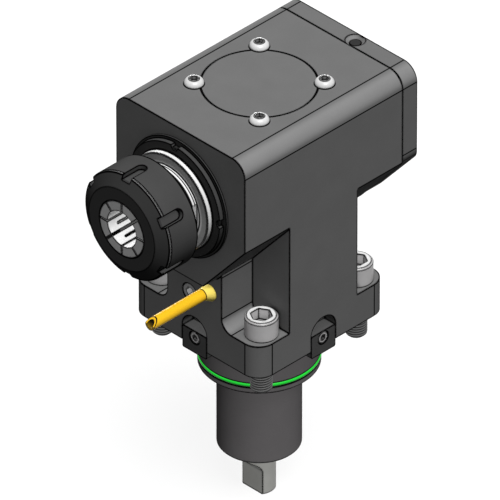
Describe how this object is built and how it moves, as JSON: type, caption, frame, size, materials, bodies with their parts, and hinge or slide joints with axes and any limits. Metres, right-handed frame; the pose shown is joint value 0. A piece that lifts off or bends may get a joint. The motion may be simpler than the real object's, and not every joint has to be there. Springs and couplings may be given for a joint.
{
  "type": "live tool holder",
  "caption": "Right-angle driven tool holder for a lathe turret: a flanged housing with a drive tang below, a bevel gear pair inside and a collet spindle at the front.",
  "frame": {"origin": "centre of the mounting face, on the axis of the pilot and the drive shaft", "axes": "+Z from the mounting face up to the head, -Y along the spindle nose, +X to the right side of the nose"},
  "size_m": [0.0944, 0.1694, 0.2599],
  "materials": {
    "black_steel": "blackened steel",
    "black_fittings": "black oxide, satin",
    "screw_steel": "zinc plated",
    "ground_steel": "hardened and ground",
    "gear_steel": "case hardened",
    "bearing_steel": "polished bearing steel",
    "nozzle_brass": "turned brass",
    "seal_green": "green ring seal",
    "seal_black": "black nitrile"
  },
  "bodies": {
    "holder": {"housing": "black_steel", "top_cover": "black_steel", "top_cover_oring": "seal_black", "top_cover_screws": "screw_steel", "rear_cover": "black_steel", "rear_cover_oring": "seal_black", "rear_cover_screws": "screw_steel", "rear_port_plug": "black_fittings", "front_ring": "black_fittings", "spindle_seal": "seal_black", "front_bearing_outer_rings": "bearing_steel", "rear_bearing_outer_ring": "bearing_steel", "drive_bearing_outer_rings": "bearing_steel", "drive_bearing_nut": "black_fittings", "lower_bearing_outer_ring": "bearing_steel", "lower_circlip": "ground_steel", "drive_shaft_seal": "seal_black", "pilot_oring": "seal_green", "mounting_screws": "screw_steel", "key_screws": "screw_steel", "coolant_nozzle": "nozzle_brass", "coolant_plug": "black_fittings", "coolant_inlet_oring": "seal_green", "locating_key_right": "black_fittings", "locating_key_rear": "black_fittings", "locating_key_left": "black_fittings", "locating_key_front": "black_fittings"},
    "drive": {"drive_shaft": "ground_steel", "input_gear": "gear_steel", "input_gear_key": "ground_steel", "gear_lock_nut": "black_fittings", "drive_lock_washer": "ground_steel", "drive_lock_nut": "black_fittings", "drive_bearing_inner_rings": "bearing_steel", "lower_bearing_inner_ring": "bearing_steel"},
    "spindle": {"spindle_shaft": "ground_steel", "spindle_sleeve": "ground_steel", "output_gear": "gear_steel", "output_gear_key": "ground_steel", "spindle_lock_washer": "ground_steel", "spindle_lock_nut": "black_fittings", "front_bearing_inner_rings": "bearing_steel", "rear_bearing_inner_ring": "bearing_steel"},
    "collet": {"collet": "ground_steel"},
    "nut": {"clamping_nut": "black_fittings"}
  },
  "joints": [
    {"name": "drive_turn", "type": "hinge", "parent": "holder", "child": "drive", "pos_m": [0, 0, 0], "axis": [0, 0, 1], "continuous": true},
    {"name": "spindle_turn", "type": "hinge", "parent": "holder", "child": "spindle", "pos_m": [0, 0, 0.1008], "axis": [0, 1, 0], "continuous": true},
    {"name": "collet_slide", "type": "slide", "parent": "spindle", "child": "collet", "axis": [0, -1, 0], "range_m": [0, 0.009]},
    {"name": "nut_turn", "type": "hinge", "parent": "collet", "child": "nut", "pos_m": [0, 0, 0.1008], "axis": [0, -1, 0], "range_deg": [0, 2160]}
  ],
  "couplings": [
    {"joint": "spindle_turn", "follows": "drive_turn", "ratio": 1},
    {"joint": "collet_slide", "follows": "nut_turn", "m_per_rad": 0.00023873}
  ]
}
